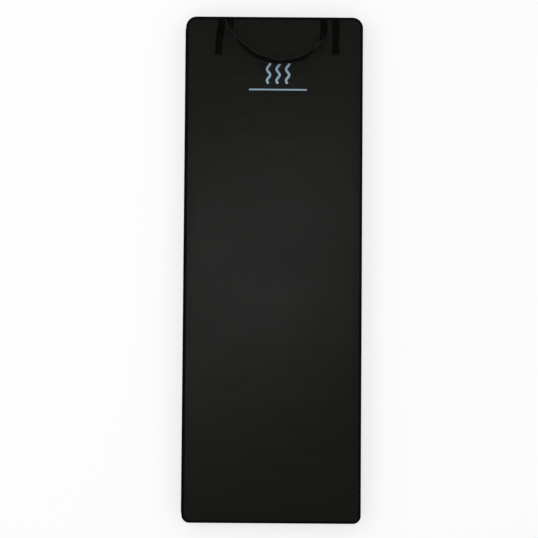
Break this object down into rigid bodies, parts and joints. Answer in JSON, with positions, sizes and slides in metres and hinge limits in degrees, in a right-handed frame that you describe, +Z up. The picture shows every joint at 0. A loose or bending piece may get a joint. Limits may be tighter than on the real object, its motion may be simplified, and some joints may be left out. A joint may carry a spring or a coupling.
{
  "type": "infrared sauna blanket",
  "caption": "Flat zip-up heated sauna blanket of padded black leatherette panels with bound edges, a webbing carry handle and closing tabs at the head end.",
  "frame": {"origin": "middle of the blanket's outline, on the surface it lies on", "axes": "+X towards the zip side, +Y towards the head end with the handle, +Z up"},
  "size_m": [0.635, 1.8, 0.0703],
  "materials": {
    "leatherette": "matte charcoal-black synthetic leather, fine grain",
    "liner": "smooth wipe-clean black lining",
    "edge_tape": "black woven binding tape",
    "webbing": "black woven webbing",
    "hook_and_loop": "black hook and loop",
    "wadding": "off-white needled insulation wadding",
    "foil": "bright reflective foil",
    "felt": "pressed felt",
    "heating_wire": "red silicone insulation over the heating element",
    "lead": "black lead insulation",
    "sensor": "cream sensor casing",
    "zip_teeth": "black moulded teeth",
    "zip_metal": "black-plated zinc",
    "inlet_plastic": "black moulded housing",
    "brass": "bright contact pins"
  },
  "bodies": {
    "base": {"lower_cover": "leatherette", "lower_wadding": "wadding", "lower_foil": "foil", "lower_heater_felt": "felt", "lower_thermal_cutout": "sensor", "lower_heating_wire": "heating_wire", "lower_thermistor": "sensor", "lower_feed_lead": "lead", "lower_return_lead": "lead", "lower_hinge_lead": "lead", "lower_liner": "liner", "lower_binding": "edge_tape", "lower_spine": "edge_tape", "lower_zip_tape": "edge_tape", "lower_zip_teeth": "zip_teeth", "left_loop_patch": "hook_and_loop", "right_loop_patch": "hook_and_loop", "zip_head_stop": "zip_metal", "zip_foot_stop": "zip_metal", "inlet_housing": "inlet_plastic", "inlet_pin_1": "brass", "inlet_pin_2": "brass", "inlet_pin_3": "brass", "inlet_pin_4": "brass"},
    "lid": {"upper_cover": "leatherette", "upper_wadding": "wadding", "upper_foil": "foil", "upper_heater_felt": "felt", "upper_thermal_cutout": "sensor", "upper_heating_wire": "heating_wire", "upper_thermistor": "sensor", "upper_feed_lead": "lead", "upper_return_lead": "lead", "upper_hinge_lead": "lead", "upper_liner": "liner", "upper_binding": "edge_tape", "upper_spine": "edge_tape", "upper_zip_tape": "edge_tape", "upper_zip_teeth": "zip_teeth", "upper_splice_block": "inlet_plastic", "left_handle_anchor": "webbing", "right_handle_anchor": "webbing", "left_tab_anchor": "webbing", "right_tab_anchor": "webbing"},
    "zip_slider": {"zip_slider": "zip_metal"},
    "zip_pull": {"zip_pull": "zip_metal"},
    "handle": {"handle_strap": "webbing"},
    "left_tab": {"left_tab": "webbing", "left_hook_pad": "hook_and_loop"},
    "right_tab": {"right_tab": "webbing", "right_hook_pad": "hook_and_loop"}
  },
  "joints": [
    {"name": "lid_open", "type": "hinge", "parent": "base", "child": "lid", "pos_m": [-0.31765, 0, 0.02], "axis": [0, -1, 0], "range_deg": [0, 180]},
    {"name": "zip_slide", "type": "slide", "parent": "base", "child": "zip_slider", "axis": [0, -1, 0], "range_m": [0, 1.705]},
    {"name": "zip_pull_swing", "type": "hinge", "parent": "zip_slider", "child": "zip_pull", "pos_m": [0.3156, 0.8442, 0.02], "axis": [0, 0, 1], "range_deg": [0, 175]},
    {"name": "handle_swing", "type": "hinge", "parent": "lid", "child": "handle", "pos_m": [0.0095, 0.882, 0.04195], "axis": [-1, 0, 0], "range_deg": [0, 180]},
    {"name": "left_tab_flip", "type": "hinge", "parent": "lid", "child": "left_tab", "pos_m": [-0.1895, 0.882, 0.04195], "axis": [-1, 0, 0], "range_deg": [0, 180]},
    {"name": "right_tab_flip", "type": "hinge", "parent": "lid", "child": "right_tab", "pos_m": [0.22, 0.882, 0.04195], "axis": [-1, 0, 0], "range_deg": [0, 180]}
  ]
}
